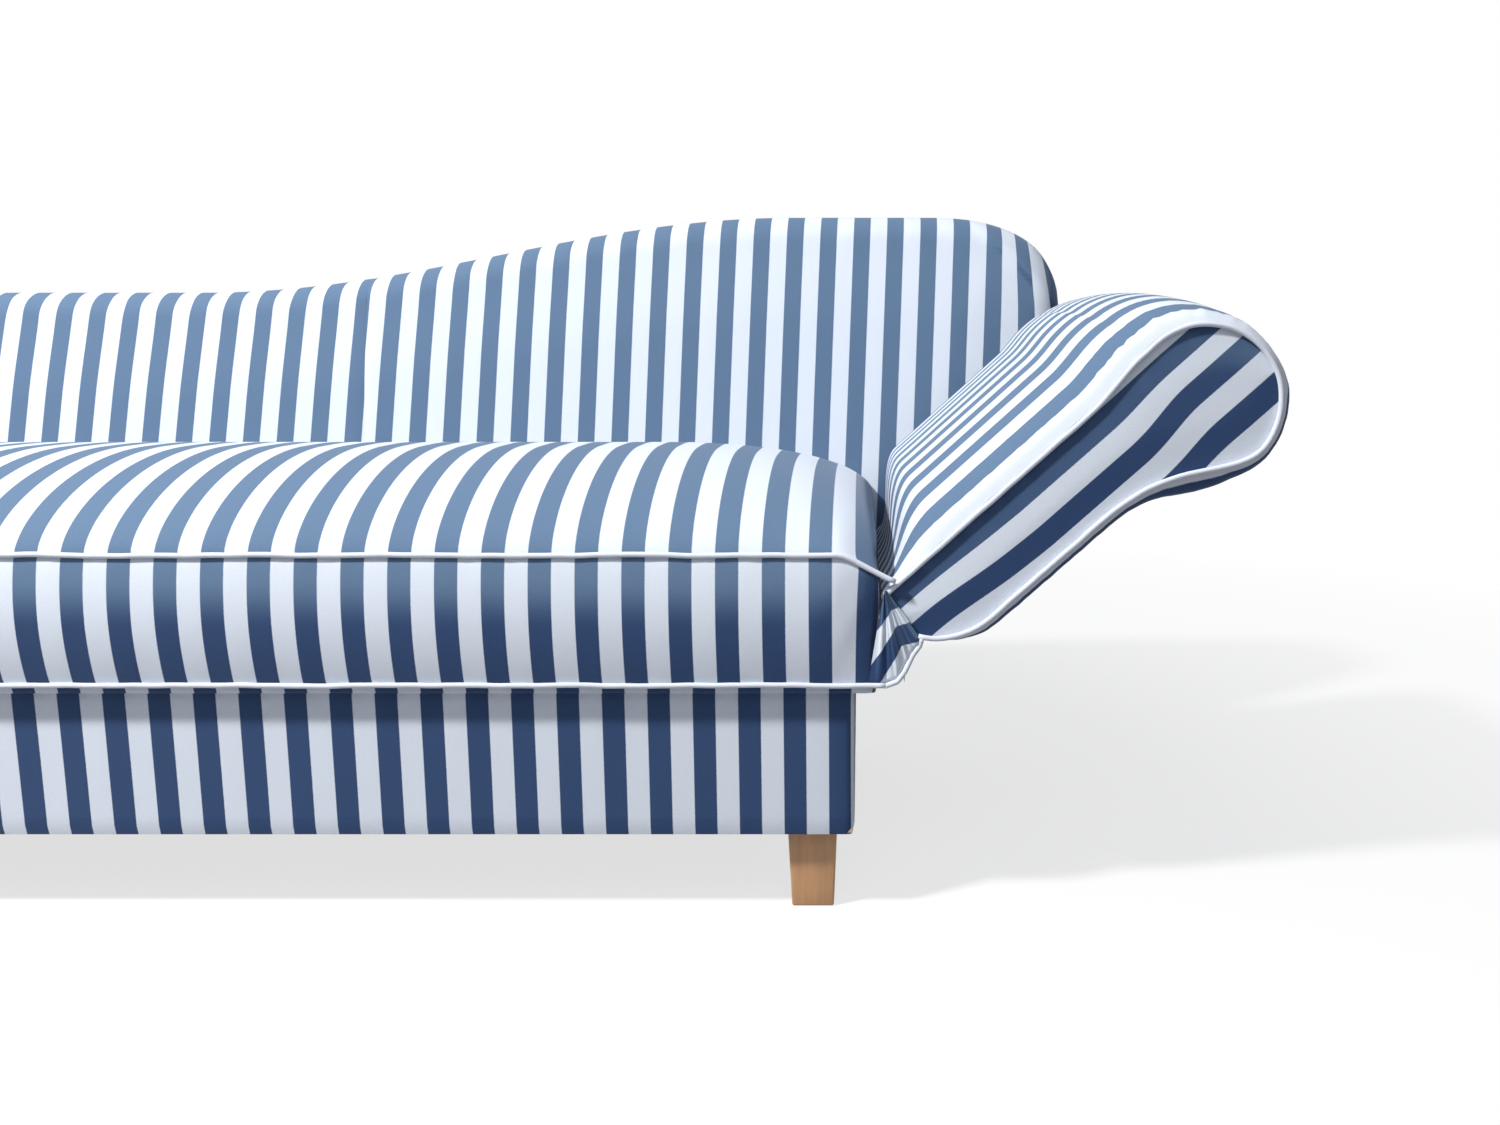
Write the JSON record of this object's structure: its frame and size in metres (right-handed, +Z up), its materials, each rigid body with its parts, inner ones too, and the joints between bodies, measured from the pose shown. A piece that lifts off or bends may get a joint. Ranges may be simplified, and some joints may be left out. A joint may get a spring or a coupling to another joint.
{
  "type": "recamier",
  "caption": "Striped upholstered recamier with a wave-topped back, a crowned seat and a rolled arm that tilts on ratchet fittings, on tapered wooden legs.",
  "frame": {"origin": "floor level at the middle of the overall box, arm at its lowest stop", "axes": "+X along the seat towards the arm, +Y from front to back, +Z up"},
  "size_m": [1.9411, 0.7923, 0.8254],
  "materials": {
    "striped_cloth": "block stripe, woven",
    "piping": "white piping",
    "beech_leg": "lacquered beech",
    "frame_wood": "raw",
    "steel": "zinc plated",
    "foam": "foam and wadding",
    "felt": "needle felt",
    "webbing": "jute webbing",
    "dust_cloth": "black fleece"
  },
  "bodies": {
    "root": {"leg_front_right": "beech_leg", "leg_front_left": "beech_leg", "leg_rear_right": "beech_leg", "leg_rear_left": "beech_leg", "leg_plates": "steel", "hanger_bolts": "steel", "seat_springs": "steel", "spring_clips": "steel", "back_bolts": "steel", "hinge_brackets": "steel", "hinge_pins": "steel", "bracket_screws": "steel", "pawl_rivets": "steel", "base_front_rail": "frame_wood", "base_rear_rail": "frame_wood", "base_left_rail": "frame_wood", "base_right_rail": "frame_wood", "base_cross_rails": "frame_wood", "base_back_beam": "frame_wood", "base_corner_blocks": "frame_wood", "seat_front_rail": "frame_wood", "seat_rear_rail": "frame_wood", "seat_left_rail": "frame_wood", "seat_right_rail": "frame_wood", "back_lower_rail": "frame_wood", "back_posts": "frame_wood", "back_top_rail": "frame_wood", "back_wing_rail": "frame_wood", "base_cover": "striped_cloth", "seat_top_panel": "striped_cloth", "seat_boxing": "striped_cloth", "back_cover_left": "striped_cloth", "back_cover_right": "striped_cloth", "back_rear_cover": "striped_cloth", "hinge_cover": "striped_cloth", "hinge_gusset": "striped_cloth", "seat_upper_piping": "piping", "seat_lower_piping": "piping", "seat_foam": "foam", "back_foam": "foam", "back_rear_pad": "foam", "seat_felt": "felt", "back_webbing": "webbing", "dust_cover": "dust_cloth"},
    "arm": {"arm_front_profile": "frame_wood", "arm_rear_profile": "frame_wood", "arm_inner_board": "frame_wood", "arm_lower_board": "frame_wood", "arm_roll_tube": "frame_wood", "arm_band_cover": "striped_cloth", "arm_front_panel": "striped_cloth", "arm_rear_panel": "striped_cloth", "arm_front_piping": "piping", "arm_rear_piping": "piping", "arm_foam": "foam", "toothed_leaves": "steel", "leaf_screws": "steel"},
    "front_pawl": {"front_pawl": "steel"},
    "rear_pawl": {"rear_pawl": "steel"}
  },
  "joints": [
    {"name": "arm_tilt", "type": "hinge", "parent": "root", "child": "arm", "pos_m": [0.56222, -0.11784, 0.358], "axis": [0, -1, 0], "range_deg": [0, 48]},
    {"name": "front_pawl_swing", "type": "hinge", "parent": "root", "child": "front_pawl", "pos_m": [0.54522, -0.35484, 0.326], "axis": [0, -1, 0], "range_deg": [0, 12]},
    {"name": "rear_pawl_swing", "type": "hinge", "parent": "root", "child": "rear_pawl", "pos_m": [0.54522, 0.11916, 0.326], "axis": [0, -1, 0], "range_deg": [0, 12]}
  ]
}
